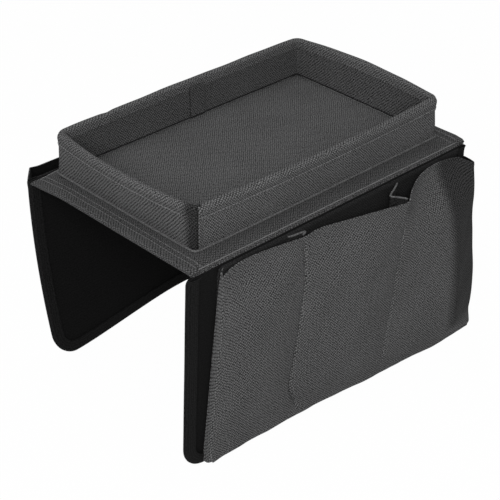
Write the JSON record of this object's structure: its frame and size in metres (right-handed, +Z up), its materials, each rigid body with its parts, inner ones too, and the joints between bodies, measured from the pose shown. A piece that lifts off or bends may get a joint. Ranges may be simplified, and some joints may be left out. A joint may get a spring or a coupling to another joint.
{
  "type": "sofa arm tray organizer",
  "caption": "soft tray with stiffened rim on a boarded base that drapes over a sofa arm, with a hanging cloth flap of gusseted pockets on each side",
  "frame": {"origin": "the middle of the base's underside, on the face that rests on the sofa arm, at mount arm_rest_face", "axes": "X along the sofa arm with the front end at -X, Y across the arm with the near flap at -Y, Z up out of the tray"},
  "size_m": [0.33, 0.267, 0.231],
  "materials": {
    "gray_cloth": "woven twill, matt",
    "black_cloth": "plain weave, matt",
    "binding_tape": "folded cloth tape, stitched",
    "stiffener_board": "plain board"
  },
  "bodies": {
    "base": {"base_cover": "gray_cloth", "base_board": "stiffener_board", "base_lining": "black_cloth", "base_binding_front": "gray_cloth", "base_binding_back": "gray_cloth", "tray_floor_board": "stiffener_board", "tray_floor_cover": "gray_cloth", "tray_wall_board_front": "stiffener_board", "tray_wall_board_back": "stiffener_board", "tray_wall_board_near": "stiffener_board", "tray_wall_board_far": "stiffener_board", "tray_wall_outer_cover": "gray_cloth", "tray_wall_inner_cover": "gray_cloth", "tray_rim_band": "gray_cloth", "tray_base_piping": "gray_cloth"},
    "near_flap": {"near_flap_lining": "black_cloth", "near_flap_cover": "black_cloth", "near_flap_binding": "binding_tape", "near_pocket_back": "gray_cloth", "near_pocket_front": "gray_cloth", "near_pocket_bottom": "gray_cloth", "near_pocket_divider_front": "gray_cloth", "near_pocket_divider_back": "gray_cloth"},
    "far_flap": {"far_flap_lining": "black_cloth", "far_flap_cover": "black_cloth", "far_flap_binding": "binding_tape", "far_pocket_back": "gray_cloth", "far_pocket_front": "gray_cloth", "far_pocket_bottom": "gray_cloth", "far_pocket_divider_front": "gray_cloth", "far_pocket_divider_back": "gray_cloth"}
  },
  "joints": [
    {"name": "near_flap_hinge", "type": "hinge", "parent": "base", "child": "near_flap", "pos_m": [0, -0.10265, -0.00015], "axis": [-1, 0, 0], "range_deg": [-88, 90]},
    {"name": "far_flap_hinge", "type": "hinge", "parent": "base", "child": "far_flap", "pos_m": [0, 0.10265, -0.00015], "axis": [1, 0, 0], "range_deg": [-15, 90]}
  ]
}
